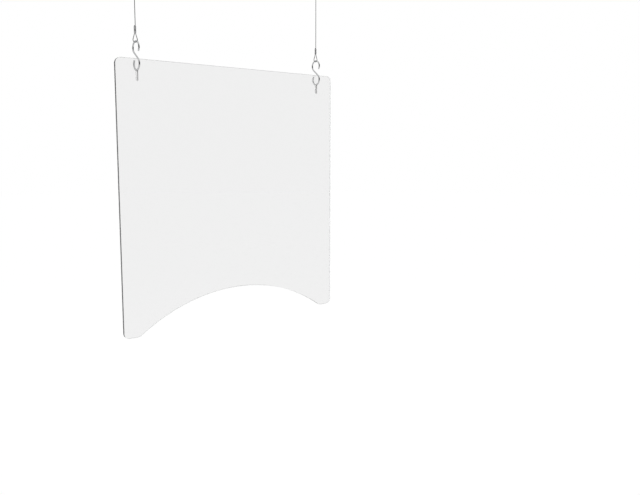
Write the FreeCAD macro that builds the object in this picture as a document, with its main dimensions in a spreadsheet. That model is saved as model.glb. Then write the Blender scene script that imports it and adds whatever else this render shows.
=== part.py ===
import FreeCAD, Part
import math
import os
import Sketcher
from FreeCAD import Placement, Rotation, Vector

# A clear acrylic safety screen that hangs from the ceiling on two short wire ropes.
# Frame: the ceiling is the plane z = 0, the origin is midway between the two ceiling hooks,
# X runs along the screen's width, the front is towards -Y and Z points up. Millimetres.

SIZES = (
    ("panel_width", 603.0, "screen, side to side"),
    ("panel_height", 603.0, "screen, top edge to feet"),
    ("panel_thickness", 6.0, "acrylic sheet"),
    ("panel_corner_radius", 13.0, "rounding of the four outer corners"),
    ("panel_edge_break", 0.2, "arris along the faces' edges"),
    ("arch_span", 528.0, "pass-through, width at the feet"),
    ("arch_rise", 82.0, "pass-through, height at its middle"),
    ("arch_corner_radius", 13.0, "rounding where the arch meets the feet"),
    ("slot_inset", 49.5, "side of the screen to a slot's middle"),
    ("slot_width", 4.1, "slot for a hook's wire"),
    ("slot_length", 24.5, "slot, top to bottom"),
    ("hook_wire", 3.4, "S-hook, wire diameter"),
    ("hook_loop_radius", 13.4, "S-hook, loop radius at the wire's middle"),
    ("hook_loop_pitch", 34.0, "S-hook, between the loops' centres"),
    ("hook_tip_rise", 8.0, "S-hook, how far a tip passes its loop's centre"),
    ("hook_tip_break", 0.5, "bevel of both kinds of hook's cut ends"),
    ("rope_diameter", 1.6, "wire rope"),
    ("rope_free_length", 130.0, "wire rope between the two ferrules"),
    ("rope_tail", 1.5, "cut end standing out of a ferrule"),
    ("eye_radius", 5.2, "rope eye, radius of its round end at the rope's middle"),
    ("eye_reach", 14.4, "rope eye, ferrule to the centre of the round end"),
    ("eye_bend_radius", 6.0, "rope eye, bend where the rope leaves the ferrule"),
    ("ferrule_length", 13.6, "crimped oval sleeve"),
    ("ferrule_wall", 0.8, "metal outside the two bores"),
    ("ferrule_web", 0.2, "metal between the two bores"),
    ("ferrule_end_break", 0.5, "bevel of the ferrule's ends"),
    ("crimp_depth", 0.35, "dent left by the crimping tool"),
    ("crimp_length", 3.0, "dent, along the ferrule"),
    ("crimp_pitch", 5.6, "between the two dents"),
    ("ceiling_wire", 4.0, "ceiling hook, wire diameter"),
    ("ceiling_bend_radius", 9.0, "ceiling hook, bend radius at the wire's middle"),
    ("ceiling_neck_radius", 6.0, "ceiling hook, reverse bend above the hook"),
    ("ceiling_neck_length", 5.0, "ceiling hook, straight wire under the collar"),
    ("ceiling_tip_rise", 3.0, "ceiling hook, how far its tip passes the bend's centre"),
    ("collar_diameter", 10.0, "ceiling hook, collar under the plate"),
    ("collar_thickness", 2.0, "ceiling hook, collar"),
    ("shank_diameter", 5.0, "screw shank in the ceiling"),
    ("shank_length", 24.0, "screw shank above the ceiling plane"),
    ("shank_taper", 6.0, "pointed end of the shank"),
    ("shank_tip_diameter", 1.6, "blunt point of the shank"),
    ("plate_diameter", 32.0, "ceiling plate"),
    ("plate_thickness", 3.0, "ceiling plate at its middle"),
    ("plate_rim", 1.2, "ceiling plate at its rim"),
    ("plate_land", 1.5, "flat of the plate outside the collar"),
    ("running_gap", 0.3, "between pieces that move on each other"),
    ("bore_clearance", 0.05, "around the rope in a ferrule"),
    ("shank_clearance", 0.3, "around the shank in the plate"),
)

# Places that follow from the sizes, each from the ones above it: from the ceiling down to the screen.
# The two roundings of a foot share its width.
LEVELS = (
    ("hook_x", "Sizes.panel_width / 2 - Sizes.slot_inset"),
    ("foot_width", "(Sizes.panel_width - Sizes.arch_span) / 2"),
    ("foot_rounding", "min(Sizes.panel_corner_radius; 0.6 * Levels.foot_width)"),
    ("arch_rounding", "min(Sizes.arch_corner_radius; 0.6 * Levels.foot_width)"),
    ("rope_radius", "Sizes.rope_diameter / 2"),
    ("bore_radius", "Levels.rope_radius + Sizes.bore_clearance"),
    ("strand_offset", "Levels.bore_radius + Sizes.ferrule_web / 2"),
    ("ferrule_radius", "Levels.bore_radius + Sizes.ferrule_wall"),
    ("eye_inside", "Sizes.eye_radius - Levels.rope_radius - Sizes.running_gap"),
    ("neck_start", "-(Sizes.plate_thickness + Sizes.collar_thickness + Sizes.ceiling_neck_length)"),
    ("bends_apart", "Sizes.ceiling_neck_radius + Sizes.ceiling_bend_radius"),
    ("bend_centre", "Levels.neck_start - sqrt(Levels.bends_apart^2 - Sizes.ceiling_neck_radius^2)"),
    ("ceiling_seat", "Levels.bend_centre - Sizes.ceiling_bend_radius"),
    (
        "upper_eye_centre",
        "Levels.ceiling_seat"
        " - sqrt((Levels.eye_inside - Sizes.ceiling_wire / 2)^2 - Levels.strand_offset^2)",
    ),
    ("upper_ferrule_top", "Levels.upper_eye_centre - Sizes.eye_reach"),
    ("upper_ferrule_bottom", "Levels.upper_ferrule_top - Sizes.ferrule_length"),
    ("cable_top", "Levels.upper_ferrule_bottom - Sizes.running_gap"),
    ("lower_ferrule_top", "Levels.cable_top - Sizes.rope_free_length"),
    ("lower_ferrule_bottom", "Levels.lower_ferrule_top - Sizes.ferrule_length"),
    ("lower_eye_centre", "Levels.lower_ferrule_bottom - Sizes.eye_reach"),
    (
        "hook_seat",
        "Levels.lower_eye_centre"
        " - sqrt((Levels.eye_inside - Sizes.hook_wire / 2)^2 - Levels.strand_offset^2)",
    ),
    ("hook_lower_centre", "Levels.hook_seat - Sizes.hook_loop_radius - Sizes.hook_loop_pitch"),
    ("hook_inside", "Sizes.hook_loop_radius - Sizes.hook_wire / 2 - Sizes.running_gap"),
    ("half_strip", "sqrt(Levels.hook_inside^2 - (Sizes.panel_thickness / 2)^2)"),
    ("panel_top", "Levels.hook_lower_centre + Levels.half_strip"),
)

SIDES = (("left", -1), ("right", 1))

doc = FreeCAD.newDocument("HangingSafetyScreen")


def make_sheet():
    """Put the driving dimensions in a sheet, one aliased cell each."""
    sheet = doc.addObject("Spreadsheet::Sheet", "Sizes")
    for row, (alias, value, note) in enumerate(SIZES, start=1):
        sheet.set(f"A{row}", alias)
        sheet.set(f"B{row}", str(value))
        sheet.set(f"C{row}", note)
        sheet.setAlias(f"B{row}", alias)
    doc.recompute()
    return sheet


def make_levels():
    """Work out the places that several pieces share."""
    levels = doc.addObject("App::VarSet", "Levels")
    for name, expression in LEVELS:
        levels.addProperty("App::PropertyFloat", name)
        levels.setExpression(name, expression)
    doc.recompute()
    return levels


sheet = make_sheet()
levels = make_levels()


def size(alias):
    return float(sheet.get(alias))


def bind(thing, expressions):
    for path, expression in expressions.items():
        thing.setExpression(path, expression)


def new_body(node, x="0", y="0", z="0", turn=0):
    """Start a piece whose own origin lies at the given place, turned about the vertical."""
    body = doc.addObject("PartDesign::Body", node)
    body.Label = node
    body.Placement = Placement(Vector(), Rotation(Vector(0, 0, 1), turn))
    bind(body, {"Placement.Base.x": x, "Placement.Base.y": y, "Placement.Base.z": z})
    return body


def origin_plane(body, role):
    return next(plane for plane in body.Origin.OriginFeatures if plane.Role == role)


def new_sketch(body, name, role):
    sketch = body.newObject("Sketcher::SketchObject", name)
    sketch.AttachmentSupport = [(origin_plane(body, role), "")]
    sketch.MapMode = "FlatFace"
    return sketch


def constrain(sketch, constraint, expression=None):
    index = sketch.addConstraint(constraint)
    if expression is not None:
        sketch.setExpression(f"Constraints[{index}]", expression)


def pin(sketch, geometry, point, x, y):
    """Hold one point of a sketch at coordinates given as expressions."""
    for kind, axis, expression in (("DistanceX", -2, x), ("DistanceY", -1, y)):
        value = sketch.evalExpression(expression)
        if expression == "0":
            constrain(sketch, Sketcher.Constraint("PointOnObject", geometry, point, axis))
        else:
            constrain(sketch, Sketcher.Constraint(kind, -1, 1, geometry, point, value), expression)


def arc_through(start, end, radius, clockwise, large):
    """The circle arc of that radius between two points, and whether it is stored backwards."""
    chord = end - start
    half = chord.Length / 2
    across = Vector(-chord.y, chord.x, 0).normalize()
    side = 1 if clockwise == large else -1
    centre = (start + end) / 2 + across * side * math.sqrt(max(radius**2 - half**2, 0))
    first, last = (end, start) if clockwise else (start, end)
    from_angle = math.atan2(first.y - centre.y, first.x - centre.x)
    to_angle = math.atan2(last.y - centre.y, last.x - centre.x)
    if to_angle <= from_angle:
        to_angle += 2 * math.pi
    circle = Part.Circle(centre, Vector(0, 0, 1), radius)
    return Part.ArcOfCircle(circle, from_angle, to_angle)


def draw_chain(sketch, points, arcs=(), closed=True):
    """Draw lines and arcs from point to point.

    arcs maps a segment to (radius, clockwise, large), where no radius means a half circle.
    """
    arcs = dict(arcs)
    spots = [Vector(sketch.evalExpression(x), sketch.evalExpression(y), 0) for x, y in points]
    count = len(points) if closed else len(points) - 1
    ends = []
    for index in range(count):
        start = spots[index]
        end = spots[(index + 1) % len(spots)]
        if index in arcs:
            radius, clockwise, large = arcs[index]
            value = sketch.evalExpression(radius) if radius else (end - start).Length / 2
            geometry = sketch.addGeometry(arc_through(start, end, value, clockwise, large))
            if radius:
                constrain(sketch, Sketcher.Constraint("Radius", geometry, value), radius)
            else:
                level = "Horizontal" if abs(end.x - start.x) > abs(end.y - start.y) else "Vertical"
                constrain(sketch, Sketcher.Constraint(level, geometry, 3, geometry, 1))
            ends.append((geometry, 2, 1) if clockwise else (geometry, 1, 2))
        else:
            geometry = sketch.addGeometry(Part.LineSegment(start, end))
            ends.append((geometry, 1, 2))
    for index, (geometry, start_point, end_point) in enumerate(ends):
        pin(sketch, geometry, start_point, *points[index])
        if closed or index < count - 1:
            other, other_start, _ = ends[(index + 1) % count]
            join = Sketcher.Constraint("Coincident", geometry, end_point, other, other_start)
            constrain(sketch, join)
        else:
            pin(sketch, geometry, end_point, *points[-1])


def draw_circle(sketch, x, y, radius):
    value = sketch.evalExpression(radius)
    centre = Vector(sketch.evalExpression(x), sketch.evalExpression(y), 0)
    geometry = sketch.addGeometry(Part.Circle(centre, Vector(0, 0, 1), value))
    constrain(sketch, Sketcher.Constraint("Radius", geometry, value), radius)
    pin(sketch, geometry, 3, x, y)


def add_pad(body, sketch, length, symmetric=False):
    pad = body.newObject("PartDesign::Pad", f"{body.Name}_pad")
    pad.Profile = sketch
    pad.SideType = "Symmetric" if symmetric else "One side"
    bind(pad, {"Length": length})
    doc.recompute()
    return pad


def add_pocket(body, sketch):
    """Cut a sketch right through the piece, both ways from the sketch's plane."""
    before = body.Shape.Volume
    pocket = body.newObject("PartDesign::Pocket", f"{sketch.Name}_cut")
    pocket.Profile = sketch
    pocket.Type = "ThroughAll"
    pocket.SideType = "Symmetric"
    doc.recompute()
    if not body.Shape.Volume < before:
        raise RuntimeError(f"{pocket.Name} cuts nothing")
    return pocket


def add_revolution(body, sketch):
    turned = body.newObject("PartDesign::Revolution", f"{sketch.Name}_turned")
    turned.Profile = sketch
    turned.ReferenceAxis = (sketch, ["V_Axis"])
    turned.Angle = 360
    doc.recompute()
    return turned


def add_wire(body, spine, end_parameter, radius):
    """Sweep a round wire along the spine sketch, from the spine's first edge."""
    section = body.newObject("Sketcher::SketchObject", f"{spine.Name}_section")
    section.AttachmentSupport = [(spine, "Edge1")]
    section.MapMode = "NormalToEdge"
    section.MapPathParameter = end_parameter
    draw_circle(section, "0", "0", radius)
    doc.recompute()
    pipe = body.newObject("PartDesign::AdditivePipe", f"{spine.Name}_wire")
    pipe.Profile = section
    pipe.Spine = (spine, [f"Edge{n + 1}" for n in range(len(spine.Shape.Edges))])
    doc.recompute()
    return pipe


def names_of(kind, items, wanted):
    return [f"{kind}{number}" for number, item in enumerate(items, start=1) if wanted(item)]


def add_dressup(body, kind, base, names, expressions):
    feature = body.newObject(f"PartDesign::{kind}", f"{base.Name}_{kind.lower()}")
    feature.Base = (base, names)
    bind(feature, expressions)
    doc.recompute()
    return feature


def edges_across(feature, corner):
    """Edges that run through the sheet's thickness at a corner and at its mirror image."""

    def wanted(edge):
        box = edge.BoundBox
        thin = box.XLength < 1e-6 and box.ZLength < 1e-6
        return thin and math.dist((abs(box.XMin), box.ZMin), corner) < 1e-3

    return names_of("Edge", feature.Shape.Edges, wanted)


def flat_faces(feature, axis):
    """The plane faces that look along an axis, either way."""

    def wanted(face):
        flat = isinstance(face.Surface, Part.Plane)
        return flat and abs(abs(face.Surface.Axis.dot(axis)) - 1) < 1e-9

    return names_of("Face", feature.Shape.Faces, wanted)


def cut_ends(feature):
    """The two flat ends of a wire, the higher one first."""
    ends = []
    for number, face in enumerate(feature.Shape.Faces, start=1):
        if isinstance(face.Surface, Part.Plane):
            ends.append((face.CenterOfMass.z, f"Face{number}"))
    return [name for _, name in sorted(ends, reverse=True)]


def make_panel():
    """The acrylic sheet, with its pass-through arch and one upright slot for each hook."""
    body = new_body("screen_panel", z="Levels.panel_top")
    outline = new_sketch(body, "panel_outline", "XZ_Plane")
    side = "Sizes.panel_width / 2"
    foot = "Sizes.arch_span / 2"
    bottom = "-Sizes.panel_height"
    arch_radius = "((Sizes.arch_span / 2)^2 + Sizes.arch_rise^2) / (2 * Sizes.arch_rise)"
    corners = [
        (f"-{side}", "0"),
        (side, "0"),
        (side, bottom),
        (foot, bottom),
        (f"-{foot}", bottom),
        (f"-{side}", bottom),
    ]
    arch = 3
    draw_chain(outline, corners, {arch: (arch_radius, False, False)})
    pad = add_pad(body, outline, "Sizes.panel_thickness", symmetric=True)
    rounded = pad
    for x, z, radius in (
        (side, "0", "Sizes.panel_corner_radius"),
        (side, bottom, "Levels.foot_rounding"),
        (foot, bottom, "Levels.arch_rounding"),
    ):
        corner = (outline.evalExpression(x), outline.evalExpression(z))
        edges = edges_across(rounded, corner)
        rounded = add_dressup(body, "Fillet", rounded, edges, {"Radius": radius})
    faces = flat_faces(rounded, Vector(0, 1, 0))
    add_dressup(body, "Chamfer", rounded, faces, {"Size": "Sizes.panel_edge_break"})
    slots = new_sketch(body, "panel_slots", "XZ_Plane")
    end_radius = "Sizes.slot_width / 2"
    roof = "-(2 * Levels.half_strip + Sizes.slot_width / 2)"
    floor = "-(2 * Levels.half_strip + Sizes.slot_length - Sizes.slot_width / 2)"
    for _, sign in SIDES:
        middle = f"{sign} * Levels.hook_x"
        near = f"{middle} - {end_radius}"
        far = f"{middle} + {end_radius}"
        points = [(near, roof), (far, roof), (far, floor), (near, floor)]
        ends = {0: (None, True, False), 2: (None, True, False)}
        draw_chain(slots, points, ends)
    add_pocket(body, slots)
    return body


def make_s_hook(side, sign):
    """Bent wire in the plane across the screen: the lower loop goes through the slot."""
    body = new_body(f"{side}_s_hook", x=f"{sign} * Levels.hook_x", z="Levels.hook_lower_centre")
    spine = new_sketch(body, f"{side}_s_hook_line", "YZ_Plane")
    radius = "Sizes.hook_loop_radius"
    pitch = "Sizes.hook_loop_pitch"
    tip = "Sizes.hook_tip_rise"
    tip_out = f"sqrt({radius}^2 - {tip}^2)"
    touch_out = f"{radius} * sqrt(1 - (2 * {radius} / {pitch})^2)"
    touch_up = f"2 * {radius}^2 / {pitch}"
    points = [
        (f"-{tip_out}", f"{pitch} - {tip}"),
        (touch_out, f"{pitch} - {touch_up}"),
        (f"-{touch_out}", touch_up),
        (tip_out, tip),
    ]
    draw_chain(spine, points, {0: (radius, True, True), 2: (radius, False, True)}, closed=False)
    wire = add_wire(body, spine, 1, "Sizes.hook_wire / 2")
    add_dressup(body, "Chamfer", wire, cut_ends(wire), {"Size": "Sizes.hook_tip_break"})
    return body


def make_ceiling_hook(side, sign):
    """Open screw hook: rolled thread in the ceiling, collar under the plate, bend in the screen's plane."""
    body = new_body(f"{side}_ceiling_hook", x=f"{sign} * Levels.hook_x")
    spine = new_sketch(body, f"{side}_ceiling_hook_line", "XZ_Plane")
    neck = "Sizes.ceiling_neck_radius"
    bend = "Sizes.ceiling_bend_radius"
    tip = "Sizes.ceiling_tip_rise"
    lean = f"{neck} / Levels.bends_apart"
    points = [
        ("0", "-Sizes.plate_thickness"),
        ("0", "Levels.neck_start"),
        (f"{neck} * (1 - {lean})", f"Levels.neck_start - {neck} * sqrt(1 - ({lean})^2)"),
        (f"-sqrt({bend}^2 - {tip}^2)", f"Levels.bend_centre + {tip}"),
    ]
    draw_chain(spine, points, {1: (neck, False, False), 2: (bend, True, True)}, closed=False)
    wire = add_wire(body, spine, 0, "Sizes.ceiling_wire / 2")
    tip_end = cut_ends(wire)[-1]
    add_dressup(body, "Chamfer", wire, [tip_end], {"Size": "Sizes.hook_tip_break"})
    profile = new_sketch(body, f"{side}_shank_profile", "XZ_Plane")
    collar = "Sizes.collar_diameter / 2"
    neck_wire = "Sizes.ceiling_wire / 2"
    shank = "Sizes.shank_diameter / 2"
    collar_bottom = "-(Sizes.plate_thickness + Sizes.collar_thickness)"
    corners = [
        ("0", collar_bottom),
        (collar, collar_bottom),
        (collar, "-Sizes.plate_thickness"),
        (neck_wire, "-Sizes.plate_thickness"),
        (neck_wire, "0"),
        (shank, "0"),
        (shank, "Sizes.shank_length - Sizes.shank_taper"),
        ("Sizes.shank_tip_diameter / 2", "Sizes.shank_length"),
        ("0", "Sizes.shank_length"),
    ]
    draw_chain(profile, corners)
    add_revolution(body, profile)
    return body


def make_ceiling_plate(side, sign):
    """Shallow round plate between the collar and the ceiling."""
    body = new_body(f"{side}_ceiling_plate", x=f"{sign} * Levels.hook_x")
    profile = new_sketch(body, f"{side}_plate_profile", "XZ_Plane")
    hole = "Sizes.shank_diameter / 2 + Sizes.shank_clearance"
    rim = "Sizes.plate_diameter / 2"
    land = "Sizes.collar_diameter / 2 + Sizes.plate_land"
    corners = [
        (hole, "0"),
        (rim, "0"),
        (rim, "-Sizes.plate_rim"),
        (land, "-Sizes.plate_thickness"),
        (hole, "-Sizes.plate_thickness"),
    ]
    draw_chain(profile, corners)
    add_revolution(body, profile)
    return body


def make_ferrule(node, x, y, z, turn):
    """Oval sleeve with a bore for each strand of the rope and two dents on each broad face."""
    body = new_body(node, x, y, z, turn)
    outline = new_sketch(body, f"{node}_outline", "XY_Plane")
    offset = "Levels.strand_offset"
    radius = "Levels.ferrule_radius"
    points = [
        (f"-{offset}", f"-{radius}"),
        (offset, f"-{radius}"),
        (offset, radius),
        (f"-{offset}", radius),
    ]
    draw_chain(outline, points, {1: (None, False, False), 3: (None, False, False)})
    pad = add_pad(body, outline, "Sizes.ferrule_length")
    ends = flat_faces(pad, Vector(0, 0, 1))
    add_dressup(body, "Chamfer", pad, ends, {"Size": "Sizes.ferrule_end_break"})
    bores = new_sketch(body, f"{node}_bores", "XY_Plane")
    draw_circle(bores, offset, "0", "Levels.bore_radius")
    draw_circle(bores, f"-{offset}", "0", "Levels.bore_radius")
    add_pocket(body, bores)
    dents = new_sketch(body, f"{node}_dents", "YZ_Plane")
    for face in (-1, 1):
        for step in (-1, 1):
            middle = f"Sizes.ferrule_length / 2 + {step} * Sizes.crimp_pitch / 2"
            outside = f"{face} * ({radius} + Sizes.crimp_depth)"
            inside = f"{face} * ({radius} - Sizes.crimp_depth)"
            wide = "(Sizes.crimp_length / 2 + Sizes.crimp_depth)"
            narrow = "(Sizes.crimp_length / 2 - Sizes.crimp_depth)"
            corners = [
                (outside, f"{middle} - {wide}"),
                (inside, f"{middle} - {narrow}"),
                (inside, f"{middle} + {narrow}"),
                (outside, f"{middle} + {wide}"),
            ]
            draw_chain(dents, corners)
    add_pocket(body, dents)
    return body


def arc_edge(centre, radius, angles):
    """Arc through three directions from a centre, in the plane of the eye."""
    spots = [centre + Vector(math.cos(a), 0, math.sin(a)) * radius for a in angles]
    return Part.Arc(*spots).toShape()


def eye_path():
    """Centre line of a rope eye that points down, drawn in XZ from the ferrule's face at the origin.

    The standing strand comes down through the ferrule on the +X side, bends out, goes round
    the eye and back up through the ferrule, where the tail ends just above it.
    """
    offset = levels.strand_offset
    bend = size("eye_bend_radius")
    radius = size("eye_radius")
    reach = size("eye_reach")
    apart = math.hypot(offset + bend, reach)
    spread = math.atan2(reach, offset + bend) - math.acos((bend + radius) / apart)
    leave = Vector(offset + bend * (1 - math.cos(spread)), 0, -bend * math.sin(spread))
    arrive = Vector(radius * math.cos(spread), 0, -reach + radius * math.sin(spread))
    top = size("ferrule_length")

    def mirrored(point):
        return Vector(-point.x, 0, point.z)

    turn_in = [math.pi, math.pi + spread / 2, math.pi + spread]
    turn_out = [-spread, -spread / 2, 0]
    round_end = [spread, -math.pi / 2, -math.pi - spread]
    edges = [
        Part.LineSegment(Vector(offset, 0, top), Vector(offset, 0, 0)).toShape(),
        arc_edge(Vector(offset + bend, 0, 0), bend, turn_in),
        Part.LineSegment(leave, arrive).toShape(),
        arc_edge(Vector(0, 0, -reach), radius, round_end),
        Part.LineSegment(mirrored(arrive), mirrored(leave)).toShape(),
        arc_edge(Vector(-offset - bend, 0, 0), bend, turn_out),
        Part.LineSegment(
            Vector(-offset, 0, 0), Vector(-offset, 0, top + size("rope_tail"))
        ).toShape(),
    ]
    return Part.Wire(edges)


def make_eye(node, place, rotation):
    """Rope eye, with the two strands that the ferrule holds."""
    path = eye_path()
    radius = levels.rope_radius
    start = Vector(levels.strand_offset, 0, size("ferrule_length"))
    section = Part.Wire([Part.makeCircle(radius, start, Vector(0, 0, 1))])
    shape = path.makePipeShell([section], True, False)
    expected = math.pi * radius**2 * path.Length
    if abs(shape.Volume / expected - 1) > 1e-3:
        raise RuntimeError(f"{node} is not a plain tube")
    eye = doc.addObject("Part::Feature", node)
    eye.Label = node
    eye.Shape = shape
    eye.Placement = Placement(place, rotation)
    return eye


def make_cable(side, sign):
    """The straight stretch of rope between the ferrules."""
    cable = doc.addObject("Part::Cylinder", f"{side}_cable")
    cable.Label = f"{side}_cable"
    bind(
        cable,
        {
            "Radius": "Levels.rope_radius",
            "Height": "Sizes.rope_free_length",
            "Placement.Base.x": f"{sign} * Levels.hook_x",
            "Placement.Base.z": "Levels.lower_ferrule_top",
        },
    )
    return cable


def make_suspension(side, sign):
    """Everything that hangs one side of the screen, from the ceiling down."""
    x = f"{sign} * Levels.hook_x"
    offset = levels.strand_offset
    upright = Rotation()
    # the upper eye is the lower one turned over and a quarter turn about the vertical
    turned_over = Rotation(Vector(0, 0, 1), 90) * Rotation(Vector(0, 1, 0), 180)
    upper = Vector(sign * levels.hook_x, offset, levels.upper_ferrule_top)
    lower = Vector(sign * levels.hook_x - offset, 0, levels.lower_ferrule_bottom)
    return [
        make_ceiling_plate(side, sign),
        make_ceiling_hook(side, sign),
        make_eye(f"{side}_upper_eye", upper, turned_over),
        make_ferrule(
            f"{side}_upper_ferrule", x, "Levels.strand_offset", "Levels.upper_ferrule_bottom", 90
        ),
        make_cable(side, sign),
        make_ferrule(
            f"{side}_lower_ferrule",
            f"{x} - Levels.strand_offset",
            "0",
            "Levels.lower_ferrule_bottom",
            0,
        ),
        make_eye(f"{side}_lower_eye", lower, upright),
        make_s_hook(side, sign),
    ]


def check_document(pieces):
    """Stop unless every object was worked out and every piece is one valid solid."""
    doc.recompute()
    for thing in doc.Objects:
        if {"Invalid", "Error"} & set(thing.State):
            raise RuntimeError(f"{thing.Name} failed: {thing.State}")
    for piece in pieces:
        shape = piece.Shape
        if shape.isNull() or not shape.isValid() or len(shape.Solids) != 1:
            raise RuntimeError(f"{piece.Label} is not one valid solid")


def report_rope():
    """Print the rope's bend radii and lengths."""
    print(f"eye radius {size('eye_radius'):.2f}, bend at the ferrule {size('eye_bend_radius'):.2f}")
    print(f"rope in one eye {eye_path().Length:.2f}, free stretch {size('rope_free_length'):.2f}")
    for name, _ in LEVELS:
        print(f"{name} {getattr(levels, name):.4f}")


def main():
    pieces = [make_panel()]
    for side, sign in SIDES:
        pieces += make_suspension(side, sign)
    check_document(pieces)
    os.makedirs("parts", exist_ok=True)
    for piece in pieces:
        piece.Shape.exportStep(f"parts/{piece.Label}.step")
    report_rope()


main()
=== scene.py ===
import math

import bmesh
import bpy
from mathutils import Euler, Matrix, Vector


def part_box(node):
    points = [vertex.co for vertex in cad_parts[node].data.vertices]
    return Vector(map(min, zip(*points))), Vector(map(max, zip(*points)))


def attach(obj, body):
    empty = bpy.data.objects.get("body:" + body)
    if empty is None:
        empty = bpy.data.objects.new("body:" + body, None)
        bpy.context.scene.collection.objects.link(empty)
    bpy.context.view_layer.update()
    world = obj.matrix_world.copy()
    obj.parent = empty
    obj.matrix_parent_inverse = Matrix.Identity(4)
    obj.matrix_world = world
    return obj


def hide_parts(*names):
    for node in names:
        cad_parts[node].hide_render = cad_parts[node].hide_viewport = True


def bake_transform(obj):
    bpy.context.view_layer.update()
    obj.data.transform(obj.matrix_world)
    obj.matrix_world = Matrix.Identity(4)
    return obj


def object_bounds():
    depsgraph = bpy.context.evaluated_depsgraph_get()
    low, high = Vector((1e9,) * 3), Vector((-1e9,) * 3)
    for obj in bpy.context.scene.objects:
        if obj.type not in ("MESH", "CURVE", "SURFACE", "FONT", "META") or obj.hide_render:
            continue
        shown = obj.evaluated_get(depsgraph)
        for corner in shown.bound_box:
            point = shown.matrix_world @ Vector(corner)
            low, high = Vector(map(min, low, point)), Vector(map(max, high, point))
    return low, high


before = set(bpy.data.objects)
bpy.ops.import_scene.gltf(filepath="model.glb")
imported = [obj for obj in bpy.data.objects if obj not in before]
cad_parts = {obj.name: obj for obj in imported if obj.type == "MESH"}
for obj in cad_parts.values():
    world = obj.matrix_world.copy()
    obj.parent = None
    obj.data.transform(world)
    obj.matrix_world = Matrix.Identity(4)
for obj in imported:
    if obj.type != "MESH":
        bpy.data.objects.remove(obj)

# Hanging safety screen: a clear acrylic sheet on two short wire ropes.
# Metres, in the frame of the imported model.

cad_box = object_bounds()
scene = bpy.context.scene
MM = 0.001
SIDES = ("left", "right")

# S-hooks of bent wire.
HOOK_WIRE = 3.4 * MM
HOOK_LOOP_RADIUS = 13.4 * MM
HOOK_LOOP_PITCH = 34.0 * MM
HOOK_TIP_RISE = 8.0 * MM
BEND_STEPS = 56
WIRE_SIDES = 24
CUT_BEVEL = 0.5 * MM

# Screw hooks in the ceiling, with collars, round plates and threaded shanks.
CEILING_WIRE = 4.0 * MM
CEILING_BEND = 9.0 * MM
CEILING_NECK_BEND = 6.0 * MM
CEILING_NECK_START = -10.0 * MM
CEILING_TIP_RISE = 3.0 * MM
CEILING_NECK_STEPS = 12
COLLAR_RADIUS = 5.0 * MM
COLLAR_BOTTOM = -5.0 * MM
COLLAR_ROUND = 0.35 * MM
COLLAR_OVERLAP = 0.5 * MM
PLATE_BOTTOM = -3.0 * MM
PLATE_RADIUS = 16.0 * MM
PLATE_RIM = -1.2 * MM
PLATE_LAND = 6.5 * MM
PLATE_HOLE = 2.8 * MM
PLATE_HOLE_BREAK = 0.2 * MM
PLATE_ROUND = 0.4 * MM
PLATE_STEPS = 12
PLATE_SIDES = 72
SHANK_RADIUS = 2.5 * MM
SHANK_CORE = 1.75 * MM
SHANK_TAPER = 6.0 * MM
SHANK_TIP = 0.8 * MM
THREAD_PITCH = 2.2 * MM
THREAD_STEPS = 14
THREAD_HALF = 0.28
THREAD_SIDES = 40

# Slots in the screen: distance from its middle, a margin round one and how far down it reaches.
SLOT_X = 252.0 * MM
SLOT_ZONE = 4.0 * MM
SLOT_REACH = 60.0 * MM

# Wire rope. An eye's route is measured from the ferrule's outer face: across from the ferrule's
# middle on the standing strand's side, and outwards along the rope.
ROPE = 1.6 * MM
ROPE_LAY = 10.4 * MM
STRANDS = 6
STRAND_SIDES = 8
ROPE_STEP = 0.65 * MM
ROUTE_RESOLUTION = 48
STRAND_OFFSET = 0.95 * MM
FERRULE_LENGTH = 13.6 * MM
FERRULE_RADIUS = 1.65 * MM
FERRULE_BORE = 0.85 * MM
FERRULE_ROUND = 0.5 * MM
CRIMP_DEPTH = 0.35 * MM
CRIMP_HALF = 1.5 * MM
CRIMP_FROM_MIDDLE = 2.8 * MM
CRIMP_SLOPE = 0.4 * MM
FERRULE_LIP = 0.1 * MM
FERRULE_STEPS = 76
ROUND_STEPS = 4
ROPE_TAIL = 1.5 * MM
EYE_ROUTE = (
    (0.95 * MM, 0.99 * MM),
    (4.07 * MM, 10.20 * MM),
    (5.78 * MM, 15.26 * MM),
    (2.67 * MM, 19.60 * MM),
    (-2.67 * MM, 19.60 * MM),
    (-5.78 * MM, 15.26 * MM),
    (-4.07 * MM, 10.20 * MM),
    (-0.95 * MM, 0.99 * MM),
)
NEAR_BEND = 6 * ROPE

# The camera, from the photograph's perspective. Its place is from the middle of the screen.
CAMERA_FROM_SCREEN = Vector((-0.9978, -1.4414, 0.105))
CAMERA_DOWN = math.radians(7.487)
CAMERA_TURN = math.radians(-41.282)
CAMERA_ROLL = math.radians(0.108)
CAMERA_LENS = 40.743
SENSOR = 36.0

# The floor looks white and keeps a faint shadow. Its own tone lights the object from below.
FLOOR_DROP = 0.45
FLOOR_TONE = (0.8, 0.8, 0.8)
FLOOR_SHADOW = (0.05, 0.05, 0.05)
FLOOR_GLOW = 0.972
FLOOR_RADIUS = 14.0

# The surroundings: white where they are seen, and a plain fill light elsewhere.
WORLD_FILL = 0.6
WORLD_WHITE = 1.0

# A dark wall round the front, behind the camera, for the metals to mirror. It glows for the sheet
# alone, so that the sheet mirrors white all over.
WALL_RADIUS = 5.0
WALL_HEIGHT = 6.0
WALL_STEPS = 48
WALL_TONE = (0.06, 0.06, 0.06, 1)
WALL_GLOW = 0.967

# Soft lamps: place from the middle of the screen, size and power.
LAMPS = {
    "key": ((1.3, -1.5, 2.2), (1.6, 1.2), 8.0),
    "fill": ((-1.8, -0.6, 2.0), (1.4, 1.4), 3.0),
    "back": ((0.3, 2.4, 1.2), (2.0, 1.0), 8.0),
}

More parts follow.
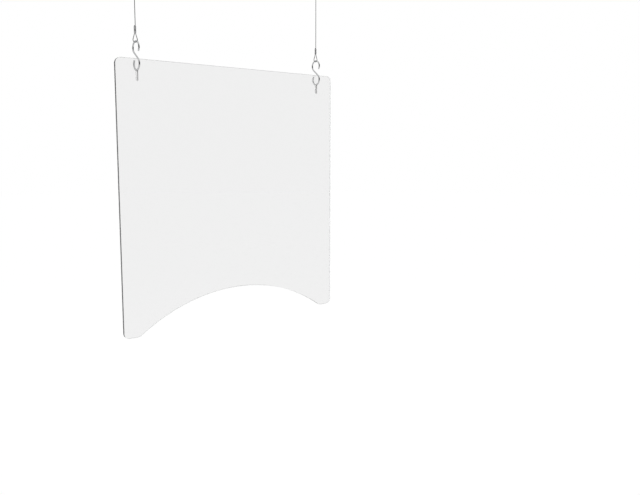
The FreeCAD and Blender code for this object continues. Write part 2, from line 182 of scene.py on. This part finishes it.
# Colours of the metals, from their darkest to their lightest tone.
HOOK_TONES = ((0.47, 0.473, 0.476), (0.58, 0.583, 0.586))
# The rope's darkest tone is painted shade in the grooves between its wires; its lightest is the
# wire crests.
ROPE_GROOVE_SHADE_TO_CREST_TONES = ((0.1, 0.101, 0.102), (0.36, 0.363, 0.366))
FERRULE_TONES = ((0.56, 0.563, 0.566), (0.72, 0.723, 0.726))
PLATE_TONES = ((0.5, 0.503, 0.506), (0.62, 0.623, 0.626))

# Acrylic: tint of one face, how matt its cut edges are and how much more the slot walls are.
ACRYLIC_TINT = (0.862, 0.862, 0.862, 1)
ACRYLIC_IOR = 1.49
EDGE_MATT = 0.05
SLOT_MATT = 0.65


def middle(node):
    low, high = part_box(node)
    return (low + high) / 2


# Meshes


def add_piece(name, mesh, body=None):
    piece = bpy.data.objects.new(name, mesh)
    scene.collection.objects.link(piece)
    if body:
        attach(piece, body)
    return piece


def arc(centre, radius, start, end, steps):
    """Points of a circle's arc in a plane, from one angle to the other."""
    spots = []
    for k in range(steps + 1):
        angle = start + (end - start) * k / steps
        spots.append((centre[0] + radius * math.cos(angle), centre[1] + radius * math.sin(angle)))
    return spots


def turns(count):
    """Angles of equal steps round a circle."""
    return [2 * math.pi * k / count for k in range(count)]


def line_frames(points):
    """Tangent, normal and side of a line at each point, carried along without twist."""
    count = len(points)
    tangents = []
    for k in range(count):
        ahead = points[min(k + 1, count - 1)] - points[max(k - 1, 0)]
        tangents.append(ahead.normalized())
    seed = Vector((1, 0, 0)) if abs(tangents[0].x) < 0.9 else Vector((0, 1, 0))
    normal = (seed - tangents[0] * seed.dot(tangents[0])).normalized()
    frames = []
    for k in range(count):
        if k:
            turn = tangents[k - 1].rotation_difference(tangents[k])
            normal = turn @ normal
            normal = (normal - tangents[k] * normal.dot(tangents[k])).normalized()
        frames.append((tangents[k], normal, tangents[k].cross(normal)))
    return frames


def distances(points):
    run = [0.0]
    for a, b in zip(points, points[1:]):
        run.append(run[-1] + (b - a).length)
    return run


def skin(work, rings, along, around, caps=True):
    """Join rings of points with quads. UVs run along in metres and around from 0 to 1."""
    uv_layer = work.loops.layers.uv.verify()
    grid = [[work.verts.new(spot) for spot in ring] for ring in rings]
    sides = len(rings[0])
    for k in range(len(grid) - 1):
        for j in range(sides):
            n = (j + 1) % sides
            face = work.faces.new((grid[k][j], grid[k][n], grid[k + 1][n], grid[k + 1][j]))
            face.smooth = True
            corners = ((k, j), (k, j + 1), (k + 1, j + 1), (k + 1, j))
            for loop, (ring, step) in zip(face.loops, corners):
                loop[uv_layer].uv = (along[ring], around + step / sides)
    if caps:
        work.faces.new(list(reversed(grid[0])))
        work.faces.new(grid[-1])


def to_mesh(work, name):
    bmesh.ops.recalc_face_normals(work, faces=work.faces)
    mesh = bpy.data.meshes.new(name)
    work.to_mesh(mesh)
    work.free()
    return mesh


def ring_mesh(name, rings, along):
    """A closed band of rings, such as a sleeve: the last ring joins the first."""
    work = bmesh.new()
    skin(work, rings + rings[:1], along + [along[-1]], 0.0, caps=False)
    bmesh.ops.remove_doubles(work, verts=work.verts, dist=1e-7)
    return to_mesh(work, name)


def wire_mesh(name, points, radius, bevel=(True, True)):
    """A round bent wire, with its cut ends bevelled."""
    frames = line_frames(points)
    run = distances(points)
    rings = []
    along = []

    def ring(k, reach, shift):
        tangent, normal, side = frames[k]
        spots = []
        for angle in turns(WIRE_SIDES):
            out = normal * math.cos(angle) + side * math.sin(angle)
            spots.append(points[k] + tangent * shift + out * reach)
        rings.append(spots)
        along.append(run[k] + shift)

    last = len(points) - 1
    for k in range(last + 1):
        at_end = (k == 0 and bevel[0]) or (k == last and bevel[1])
        if not at_end:
            ring(k, radius, 0.0)
        elif k == 0:
            ring(k, radius - CUT_BEVEL, 0.0)
            ring(k, radius - 0.3 * CUT_BEVEL, 0.25 * CUT_BEVEL)
            ring(k, radius, CUT_BEVEL)
        else:
            ring(k, radius, -CUT_BEVEL)
            ring(k, radius - 0.3 * CUT_BEVEL, -0.25 * CUT_BEVEL)
            ring(k, radius - CUT_BEVEL, 0.0)
    work = bmesh.new()
    skin(work, rings, along, 0.0)
    return to_mesh(work, name)


# Camera


def make_camera():
    data = bpy.data.cameras.new("camera")
    data.sensor_width = SENSOR
    data.lens = CAMERA_LENS
    data.clip_start = 0.01
    camera = bpy.data.objects.new("camera", data)
    camera.location = middle("screen_panel") + CAMERA_FROM_SCREEN
    aim = Euler((math.pi / 2 - CAMERA_DOWN, 0.0, CAMERA_TURN)).to_matrix()
    camera.rotation_euler = (aim @ Euler((0.0, 0.0, CAMERA_ROLL)).to_matrix()).to_euler()
    scene.collection.objects.link(camera)
    scene.camera = camera


# Wire ropes


def rope_route(side):
    """Control points of one rope, from its cut end at the upper ferrule to that at the lower."""
    upper = middle(f"{side}_upper_ferrule")
    upper_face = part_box(f"{side}_upper_ferrule")[1].z
    lower = middle(f"{side}_lower_ferrule")
    lower_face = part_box(f"{side}_lower_ferrule")[0].z
    strand_start = EYE_ROUTE[0][1]

    def at_upper(across, out):
        return Vector((upper.x, upper.y - across, upper_face + out))

    def at_lower(across, out):
        return Vector((lower.x + across, lower.y, lower_face - out))

    tail = -FERRULE_LENGTH - ROPE_TAIL
    bend_in = strand_start - NEAR_BEND
    route = [at_upper(-STRAND_OFFSET, tail), at_upper(-STRAND_OFFSET, bend_in)]
    route += [at_upper(across, out) for across, out in reversed(EYE_ROUTE)]
    route += [at_upper(STRAND_OFFSET, bend_in), at_lower(STRAND_OFFSET, bend_in)]
    route += [at_lower(across, out) for across, out in EYE_ROUTE]
    route += [at_lower(-STRAND_OFFSET, bend_in), at_lower(-STRAND_OFFSET, tail)]
    return route


def spline_points(name, route):
    """Points along the smooth NURBS line of a route."""
    data = bpy.data.curves.new(name, "CURVE")
    data.dimensions = "3D"
    data.resolution_u = ROUTE_RESOLUTION
    spline = data.splines.new("NURBS")
    spline.points.add(len(route) - 1)
    for point, spot in zip(spline.points, route):
        point.co = (*spot, 1.0)
    spline.order_u = 3
    spline.use_endpoint_u = True
    holder = bpy.data.objects.new(name, data)
    scene.collection.objects.link(holder)
    mesh = bpy.data.meshes.new_from_object(holder)
    points = [v.co.copy() for v in mesh.vertices]
    bpy.data.objects.remove(holder)
    bpy.data.meshes.remove(mesh)
    bpy.data.curves.remove(data)
    return points


def even_points(points, step):
    """The same line with points a steady step apart."""
    run = distances(points)
    count = round(run[-1] / step)
    spots = []
    k = 0
    for n in range(count + 1):
        place = run[-1] * n / count
        while k < len(run) - 2 and run[k + 1] < place:
            k += 1
        share = (place - run[k]) / max(run[k + 1] - run[k], 1e-12)
        spots.append(points[k].lerp(points[k + 1], share))
    return spots


def strand_rings(points, frames, run, strand):
    """Rings of one strand laid round the rope's middle, or of the core strand."""
    radius = ROPE / 6
    rings = []
    for k, spot in enumerate(points):
        tangent, normal, side = frames[k]
        centre = spot
        axis = tangent
        if strand is not None:
            angle = 2 * math.pi * (run[k] / ROPE_LAY + strand / STRANDS)
            out = normal * math.cos(angle) + side * math.sin(angle)
            turn = side * math.cos(angle) - normal * math.sin(angle)
            centre = spot + out * (ROPE / 2 - radius)
            lead = 2 * math.pi * (ROPE / 2 - radius) / ROPE_LAY
            axis = (tangent + turn * lead).normalized()
        else:
            out = normal
        across = axis.cross(out).normalized()
        ring = []
        for angle in turns(STRAND_SIDES):
            ring.append(centre + (out * math.cos(angle) + across * math.sin(angle)) * radius)
        rings.append(ring)
    return rings


def smooth_step(value, low, high):
    share = min(1.0, max(0.0, (value - low) / (high - low)))
    return share * share * (3 - 2 * share)


def oval(radius, press=0.0, steps=18, flats=4):
    """Outline round two strands side by side, pressed flat by the crimping tool on both faces."""
    half = []
    for k in range(steps + 1):
        angle = math.pi * (k / steps - 0.5)
        half.append((STRAND_OFFSET + radius * math.cos(angle), radius * math.sin(angle)))
    for k in range(1, flats):
        half.append((STRAND_OFFSET * (1 - 2 * k / flats), radius))
    limit = FERRULE_RADIUS - press
    spots = []
    for turn in (1, -1):
        for across, out in half:
            spots.append((turn * across, turn * max(-limit, min(limit, out))))
    return spots


def ferrule_profile():
    """Height, radius and press of each ring, up the outside and down the bore."""
    top = FERRULE_LENGTH / 2
    ends = []
    for k in range(ROUND_STEPS + 1):
        angle = math.pi / 2 * k / ROUND_STEPS
        reach = FERRULE_RADIUS - FERRULE_ROUND * (1 - math.sin(angle))
        ends.append((top - FERRULE_ROUND * (1 - math.cos(angle)), reach))
    outside = [(-z, reach, 0.0) for z, reach in ends]
    start = top - FERRULE_ROUND
    for k in range(1, FERRULE_STEPS):
        z = start * (2 * k / FERRULE_STEPS - 1)
        off = abs(abs(z) - CRIMP_FROM_MIDDLE)
        press = 1 - smooth_step(off, CRIMP_HALF - CRIMP_SLOPE, CRIMP_HALF + CRIMP_SLOPE)
        outside.append((z, FERRULE_RADIUS, CRIMP_DEPTH * press))
    outside += [(z, reach, 0.0) for z, reach in reversed(ends)]
    wide = FERRULE_BORE + FERRULE_LIP
    inside = [(top, wide), (top - FERRULE_LIP, FERRULE_BORE)]
    inside += [(FERRULE_LIP - top, FERRULE_BORE), (-top, wide)]
    return outside + [(z, reach, 0.0) for z, reach in inside]


def make_ferrule(side, end, body, material):
    """Oval sleeve round both strands, with two press marks on each face."""
    node = f"{side}_{end}_ferrule"
    low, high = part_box(node)
    place = (low + high) / 2
    along_x = high.x - low.x > high.y - low.y
    rings = []
    heights = []
    for z, radius, press in ferrule_profile():
        spots = oval(radius, press)
        if along_x:
            rings.append([place + Vector((across, out, z)) for across, out in spots])
        else:
            rings.append([place + Vector((-out, across, z)) for across, out in spots])
        heights.append(z)
    sleeve = add_piece(f"{side}_{end}_sleeve", ring_mesh(node, rings, heights), body)
    sleeve.data.materials.append(material)
    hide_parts(node)
    return sleeve


def make_rope(side, material):
    """Stranded wire rope from eye to eye, which bends where it leaves the upper ferrule."""
    points = even_points(spline_points(f"{side}_route", rope_route(side)), ROPE_STEP)
    frames = line_frames(points)
    run = distances(points)
    work = bmesh.new()
    for strand in (*range(STRANDS), None):
        skin(work, strand_rings(points, frames, run, strand), run, strand or 0)
    rope = add_piece(f"{side}_wire_rope", to_mesh(work, f"{side}_wire_rope"))
    rope.data.materials.append(material)
    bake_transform(rope)
    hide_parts(f"{side}_upper_eye", f"{side}_cable", f"{side}_lower_eye")


# Hooks


def make_s_hook(side, material):
    """S-hook across the screen: the upper loop opens to the front and the lower one to the back."""
    node = f"{side}_s_hook"
    place = middle(node)
    radius, pitch = HOOK_LOOP_RADIUS, HOOK_LOOP_PITCH
    tip = math.asin(HOOK_TIP_RISE / radius)
    touch = math.acos(2 * radius / pitch)
    upper = (0.0, pitch / 2)
    lower = (0.0, -pitch / 2)
    flat = arc(upper, radius, math.pi + tip, -math.pi / 2 + touch, BEND_STEPS)
    flat += arc(lower, radius, math.pi / 2 + touch, 2 * math.pi + tip, BEND_STEPS)
    points = [Vector((place.x, y, place.z + z)) for y, z in flat]
    mesh = wire_mesh(node, points, HOOK_WIRE / 2)
    hook = add_piece(f"{side}_wire_s_hook", mesh, f"{side}_hook")
    hook.data.materials.append(material)
    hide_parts(node)


def thread_rings(top):
    """Rings of the screw shank, whose reach follows a helix, from the ceiling to its point."""
    rings = []
    along = []
    steps = round(top / (THREAD_PITCH / THREAD_STEPS))
    for k in range(steps + 1):
        z = top * k / steps
        taper = min(1.0, (top - z) / SHANK_TAPER)
        run_out = min(1.0, z / THREAD_PITCH)
        ring = []
        for j, angle in enumerate(turns(THREAD_SIDES)):
            phase = (z / THREAD_PITCH - j / THREAD_SIDES) % 1.0
            ridge = max(0.0, 1 - abs(phase - 0.5) / THREAD_HALF)
            core = SHANK_TIP + (SHANK_CORE - SHANK_TIP) * taper
            depth = (SHANK_RADIUS - SHANK_CORE) * (0.25 + 0.75 * taper)
            plain = core + 0.45 * depth
            reach = core + depth * min(1.0, 1.15 * ridge)
            reach = plain + (reach - plain) * run_out
            ring.append((math.cos(angle) * reach, math.sin(angle) * reach, z))
        rings.append(ring)
        along.append(z)
    return rings, along


def make_ceiling_hook(side, material):
    """Open screw hook with a rolled thread and a collar."""
    node = f"{side}_ceiling_hook"
    place = middle(f"{side}_ceiling_plate")
    apart = CEILING_NECK_BEND + CEILING_BEND
    lean = math.acos(CEILING_NECK_BEND / apart)
    bend_z = CEILING_NECK_START - apart * math.sin(lean)
    tip = math.asin(CEILING_TIP_RISE / CEILING_BEND)
    neck = (CEILING_NECK_BEND, CEILING_NECK_START)
    flat = [(0.0, COLLAR_BOTTOM + COLLAR_OVERLAP)]
    flat += arc(neck, CEILING_NECK_BEND, math.pi, math.pi + lean, CEILING_NECK_STEPS)
    flat += arc((0.0, bend_z), CEILING_BEND, lean, -math.pi - tip, BEND_STEPS)[1:]
    points = [Vector((place.x + x, place.y, z)) for x, z in flat]
    wire = wire_mesh(node, points, CEILING_WIRE / 2, bevel=(False, True))
    work = bmesh.new()
    work.from_mesh(wire)
    bpy.data.meshes.remove(wire)
    soft = COLLAR_ROUND
    profile = [
        (CEILING_WIRE / 2, COLLAR_BOTTOM),
        (COLLAR_RADIUS - soft, COLLAR_BOTTOM),
        (COLLAR_RADIUS - 0.3 * soft, COLLAR_BOTTOM + 0.3 * soft),
        (COLLAR_RADIUS, COLLAR_BOTTOM + soft),
        (COLLAR_RADIUS, PLATE_BOTTOM - soft),
        (COLLAR_RADIUS - 0.3 * soft, PLATE_BOTTOM - 0.3 * soft),
        (COLLAR_RADIUS - soft, PLATE_BOTTOM),
        (CEILING_WIRE / 2, PLATE_BOTTOM),
        (CEILING_WIRE / 2, 0.0),
    ]
    around = turns(THREAD_SIDES)
    collar = [[(math.cos(t) * r, math.sin(t) * r, z) for t in around] for r, z in profile]
    thread, heights = thread_rings(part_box(node)[1].z)
    shift = Vector((place.x, place.y, 0.0))
    rings = [[Vector(spot) + shift for spot in ring] for ring in collar + thread]
    skin(work, rings, [z for _, z in profile] + heights, 0.0)
    hook = add_piece(f"{side}_screw_hook", to_mesh(work, node), "ceiling_fittings")
    hook.data.materials.append(material)
    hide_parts(node)


def make_plate(side, material):
    """Pressed round plate with a soft rim, flat under the collar."""
    node = f"{side}_ceiling_plate"
    place = middle(node)
    soft = PLATE_ROUND
    slope = (PLATE_BOTTOM - PLATE_RIM) / (PLATE_LAND - PLATE_RADIUS)
    profile = [(PLATE_HOLE, 0.0), (PLATE_RADIUS - soft, 0.0)]
    for k in range(1, ROUND_STEPS + 1):
        angle = math.pi / 2 * k / ROUND_STEPS
        reach = PLATE_RADIUS - soft * (1 - math.sin(angle))
        profile.append((reach, -soft * (1 - math.cos(angle))))
    profile += [(PLATE_RADIUS, PLATE_RIM + 0.4 * soft), (PLATE_RADIUS - 0.2 * soft, PLATE_RIM)]
    for k in range(1, PLATE_STEPS + 1):
        reach = PLATE_RADIUS - soft + (PLATE_LAND - PLATE_RADIUS + 2 * soft) * k / PLATE_STEPS
        profile.append((reach, PLATE_RIM + slope * (reach - PLATE_RADIUS)))
    profile += [(PLATE_LAND, PLATE_BOTTOM + 0.1 * soft), (PLATE_LAND - soft, PLATE_BOTTOM)]
    profile.append((PLATE_HOLE + PLATE_HOLE_BREAK, PLATE_BOTTOM))
    profile.append((PLATE_HOLE, PLATE_BOTTOM + PLATE_HOLE_BREAK))
    rings = []
    along = [0.0]
    for k, (reach, z) in enumerate(profile):
        ring = []
        for t in turns(PLATE_SIDES):
            ring.append(Vector((place.x + reach * math.cos(t), place.y + reach * math.sin(t), z)))
        rings.append(ring)
        if k:
            along.append(along[-1] + math.dist(profile[k - 1], (reach, z)))
    plate = add_piece(f"{side}_round_plate", ring_mesh(node, rings, along), "ceiling_fittings")
    plate.data.materials.append(material)
    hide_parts(node)


# Materials


class Shader:
    """A material with a Principled shader and short ways to add nodes."""

    def __init__(self, name, **values):
        self.material = bpy.data.materials.new(name)
        self.material.use_nodes = True
        self.tree = self.material.node_tree
        self.bsdf = next(n for n in self.tree.nodes if n.type == "BSDF_PRINCIPLED")
        for socket, value in values.items():
            self.bsdf.inputs[socket.replace("_", " ")].default_value = value

    def add(self, kind, inputs=None, **settings):
        node = self.tree.nodes.new(f"ShaderNode{kind}")
        for key, value in settings.items():
            setattr(node, key, value)
        for socket, value in (inputs or {}).items():
            if isinstance(value, bpy.types.NodeSocket):
                self.tree.links.new(value, node.inputs[socket])
            else:
                node.inputs[socket].default_value = value
        return node

    def place(self, scale=(1, 1, 1), source="Object"):
        """Coordinates on the piece, stretched by scale."""
        where = self.add("TexCoord").outputs[source]
        return self.add("Mapping", {"Vector": where, "Scale": scale}).outputs["Vector"]

    def noise(self, where, scale, detail=3.0, roughness=0.55):
        inputs = {"Vector": where, "Scale": scale, "Detail": detail, "Roughness": roughness}
        return self.add("TexNoise", inputs).outputs["Fac"]

    def spread(self, value, low, high, from_low=0.3, from_high=0.7):
        """Map a texture's middle range to a range of numbers."""
        inputs = {
            "Value": value,
            "From Min": from_low,
            "From Max": from_high,
            "To Min": low,
            "To Max": high,
        }
        return self.add("MapRange", inputs).outputs["Result"]

    def math(self, operation, a, b=0.0):
        return self.add("Math", {0: a, 1: b}, operation=operation).outputs["Value"]

    def tint(self, value, low, high):
        """A colour between two, by a value from 0 to 1."""
        node = self.add("Mix", {"Factor": value}, data_type="RGBA")
        node.inputs[6].default_value = (*low, 1)
        node.inputs[7].default_value = (*high, 1)
        return node.outputs[2]

    def bump(self, height, strength, distance):
        inputs = {"Height": height, "Strength": strength, "Distance": distance}
        return self.add("Bump", inputs).outputs["Normal"]

    def feed(self, socket, output):
        self.tree.links.new(output, self.bsdf.inputs[socket])


def slot_walls(shader):
    """1 on the walls of the two slots, 0 on the rest of the sheet."""
    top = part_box("screen_panel")[1].z
    split = shader.add("SeparateXYZ", {"Vector": shader.add("TexCoord").outputs["Object"]})
    from_middle = shader.math("ABSOLUTE", split.outputs["X"])
    off = shader.math("ABSOLUTE", shader.math("SUBTRACT", from_middle, SLOT_X))
    near = shader.math("LESS_THAN", off, SLOT_ZONE)
    below = shader.math("LESS_THAN", split.outputs["Z"], top - SLOT_ZONE)
    above = shader.math("GREATER_THAN", split.outputs["Z"], top - SLOT_REACH)
    return shader.math("MULTIPLY", near, shader.math("MULTIPLY", below, above))


def acrylic_material():
    """Clear cast sheet: faint wiping marks on the faces, fine cutting marks on the edges."""
    shader = Shader("clear_acrylic", Base_Color=ACRYLIC_TINT, IOR=ACRYLIC_IOR, Roughness=0.0)
    normal = shader.add("TexCoord").outputs["Normal"]
    facing = shader.add("SeparateXYZ", {"Vector": normal}).outputs["Y"]
    edge = shader.spread(shader.math("ABSOLUTE", facing), 1.0, 0.0, 0.4, 0.9)
    wiped = shader.noise(shader.place((5, 5, 16)), 1.0, 4.0)
    marks = shader.spread(wiped, 0.0, 0.02, 0.5, 0.8)
    cut = shader.noise(shader.place((3600, 15, 3600)), 1.0, 2.0)
    rough_edge = shader.spread(cut, 0.2, 0.28)
    rough = shader.math("ADD", marks, shader.math("MULTIPLY", edge, rough_edge))
    shader.feed("Roughness", rough)
    in_slot = shader.math("MULTIPLY", slot_walls(shader), SLOT_MATT)
    matt = shader.math("MULTIPLY", edge, shader.math("ADD", EDGE_MATT, in_slot))
    shader.feed("Transmission Weight", shader.math("SUBTRACT", 1.0, matt))
    height = shader.math("MULTIPLY", edge, cut)
    shader.feed("Normal", shader.bump(height, 0.03, 0.0002))
    return shader.material


def hook_material():
    """Bright zinc plating: drawn lines along the wire, soft cloudy tone and small scuffs."""
    shader = Shader("hook_steel", Metallic=1.0, Specular_Tint=(0.62, 0.63, 0.65, 1))
    cloud = shader.noise(shader.place(), 240.0, 4.0)
    shader.feed("Base Color", shader.tint(shader.spread(cloud, 0, 1), *HOOK_TONES))
    drawn = shader.noise(shader.place((60, 26, 1), "UV"), 1.0, 2.0)
    scuff = shader.noise(shader.place(), 1500.0, 2.0)
    scuffed = shader.spread(scuff, 0, 0.1, 0.6, 0.8)
    shader.feed("Roughness", shader.math("ADD", shader.spread(cloud, 0.22, 0.34), scuffed))
    height = shader.math("ADD", drawn, shader.math("MULTIPLY", scuff, 0.4))
    shader.feed("Normal", shader.bump(height, 0.25, 0.00008))
    return shader.material


def rope_material():
    """Stainless wire rope: each strand shows the twist of its own wires, with painted shade in the
    grooves between them.
    """
    shader = Shader("rope_steel", Metallic=1.0, Specular_Tint=(0.6, 0.61, 0.62, 1))
    where = shader.add("TexCoord").outputs["UV"]
    split = shader.add("SeparateXYZ", {"Vector": where})
    twist = shader.math("MULTIPLY", split.outputs["X"], 300.0)
    turn = shader.math("SUBTRACT", split.outputs["Y"], twist)
    # wires: 1 on each wire's crest, 0 in the grooves between wires; it drives the bump and the
    # painted groove shade.
    wires = shader.math("ABSOLUTE", shader.math("SINE", shader.math("MULTIPLY", turn, 6 * math.pi)))
    cloud = shader.noise(shader.place(), 300.0, 3.0)
    # Painted shade: the colour falls to the dark tone in the grooves between wires, times a random
    # cloudy tone.
    painted_groove_shade = shader.math("MULTIPLY", wires, shader.spread(cloud, 0.75, 1.0))
    shader.feed("Base Color", shader.tint(painted_groove_shade, *ROPE_GROOVE_SHADE_TO_CREST_TONES))
    shader.feed("Roughness", shader.spread(cloud, 0.25, 0.42))
    shader.feed("Normal", shader.bump(wires, 0.6, 0.00006))
    return shader.material


def ferrule_material():
    """Crimped aluminium sleeve: dull, with draw lines along it and a soft cloudy tone."""
    shader = Shader("ferrule_metal", Metallic=1.0, Specular_Tint=(0.6, 0.6, 0.62, 1))
    lines = shader.noise(shader.place((2400, 2400, 90)), 1.0, 2.0)
    cloud = shader.noise(shader.place(), 420.0, 4.0)
    lined = shader.math("MULTIPLY", lines, 0.4)
    tone = shader.math("ADD", lined, shader.math("MULTIPLY", cloud, 0.6))
    shader.feed("Base Color", shader.tint(shader.spread(tone, 0, 1), *FERRULE_TONES))
    shader.feed("Roughness", shader.spread(tone, 0.34, 0.55))
    shader.feed("Normal", shader.bump(lines, 0.3, 0.00006))
    return shader.material


def plate_material():
    """Pressed zinc-plated plate: turned lines round its middle and a soft cloudy tone."""
    shader = Shader("plate_steel", Metallic=1.0, Specular_Tint=(0.66, 0.67, 0.68, 1))
    cloud = shader.noise(shader.place(), 180.0, 4.0)
    shader.feed("Base Color", shader.tint(shader.spread(cloud, 0, 1), *PLATE_TONES))
    turned = shader.noise(shader.place((7000, 4, 1), "UV"), 1.0, 2.0)
    shader.feed("Roughness", shader.spread(cloud, 0.26, 0.42))
    shader.feed("Normal", shader.bump(turned, 0.2, 0.00008))
    return shader.material


def paint(node, material):
    """Give a CAD node that stays in view its finish."""
    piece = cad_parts[node]
    piece.data.materials.clear()
    piece.data.materials.append(material)


# Stage


def seen(tree):
    """1 for rays that show a background: from the camera, off metal and through the sheet."""
    path = tree.nodes.new("ShaderNodeLightPath")
    value = path.outputs["Is Camera Ray"]
    for ray in ("Is Glossy Ray", "Is Transmission Ray"):
        pick = tree.nodes.new("ShaderNodeMath")
        pick.operation = "MAXIMUM"
        tree.links.new(value, pick.inputs[0])
        tree.links.new(path.outputs[ray], pick.inputs[1])
        value = pick.outputs["Value"]
    return value


def make_world():
    world = bpy.data.worlds.new("studio")
    scene.world = world
    world.use_nodes = True
    tree = world.node_tree
    background = next(n for n in tree.nodes if n.type == "BACKGROUND")
    background.inputs["Color"].default_value = (1, 1, 1, 1)
    strength = tree.nodes.new("ShaderNodeMapRange")
    strength.inputs["To Min"].default_value = WORLD_FILL
    strength.inputs["To Max"].default_value = WORLD_WHITE
    tree.links.new(seen(tree), strength.inputs["Value"])
    tree.links.new(strength.outputs["Result"], background.inputs["Strength"])


def make_floor():
    work = bmesh.new()
    bmesh.ops.create_circle(work, cap_ends=True, segments=96, radius=FLOOR_RADIUS)
    floor = add_piece("floor", to_mesh(work, "floor"))
    floor.location = (0.0, 0.0, cad_box[0].z - FLOOR_DROP)
    shader = Shader("floor", Roughness=0.9, Specular_IOR_Level=0.0, Emission_Color=(1, 1, 1, 1))
    shows = seen(shader.tree)
    shader.feed("Base Color", shader.tint(shows, FLOOR_TONE, FLOOR_SHADOW))
    shader.feed("Emission Strength", shader.math("MULTIPLY", shows, FLOOR_GLOW))
    floor.data.materials.append(shader.material)


def light_set(name, node, state):
    """What a light shines on: the node alone (INCLUDE) or all but the node (EXCLUDE)."""
    group = bpy.data.collections.new(name)
    group.objects.link(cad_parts[node])
    group.collection_objects[0].light_linking.link_state = state
    return group


def make_wall():
    """Half a drum round the front, from the floor up. The camera doesn't see it."""
    foot = cad_box[0].z - FLOOR_DROP
    line = arc((0.0, 0.0), WALL_RADIUS, math.pi, 2 * math.pi, WALL_STEPS)
    work = bmesh.new()
    low, high = [[work.verts.new((x, y, z)) for x, y in line] for z in (foot, foot + WALL_HEIGHT)]
    for k in range(WALL_STEPS):
        work.faces.new((low[k], low[k + 1], high[k + 1], high[k]))
    wall = add_piece("front_wall", to_mesh(work, "front_wall"))
    shader = Shader(
        "front_wall",
        Base_Color=WALL_TONE,
        Roughness=1.0,
        Specular_IOR_Level=0.0,
        Emission_Color=(1, 1, 1, 1),
        Emission_Strength=WALL_GLOW,
    )
    wall.data.materials.append(shader.material)
    wall.visible_camera = False
    wall.visible_diffuse = False
    wall.visible_transmission = False
    wall.visible_shadow = False
    wall.light_linking.receiver_collection = light_set("sheet_alone", "screen_panel", "INCLUDE")


def make_lamp(name, place, aim, size, power, receivers):
    data = bpy.data.lights.new(name, "AREA")
    data.shape = "RECTANGLE"
    data.size, data.size_y = size
    data.energy = power
    lamp = bpy.data.objects.new(name, data)
    lamp.location = place
    lamp.rotation_euler = (aim - place).to_track_quat("-Z", "Y").to_euler()
    lamp.visible_camera = False
    lamp.visible_transmission = False
    lamp.light_linking.receiver_collection = receivers
    scene.collection.objects.link(lamp)


def make_lights():
    aim = middle("screen_panel")
    receivers = light_set("all_but_sheet", "screen_panel", "EXCLUDE")
    for name, (place, size, power) in LAMPS.items():
        make_lamp(name, aim + Vector(place), aim, size, power, receivers)


scene.view_settings.view_transform = "Standard"
make_camera()
rope_steel = rope_material()
ferrule_metal = ferrule_material()
for side in SIDES:
    upper = make_ferrule(side, "upper", f"{side}_rope_top", ferrule_metal)
    lower = make_ferrule(side, "lower", f"{side}_rope", ferrule_metal)
    make_rope(side, rope_steel)
hook_steel = hook_material()
plate_steel = plate_material()
for side in SIDES:
    make_s_hook(side, hook_steel)
    make_ceiling_hook(side, hook_steel)
    make_plate(side, plate_steel)
paint("screen_panel", acrylic_material())
make_world()
make_floor()
make_wall()
make_lights()
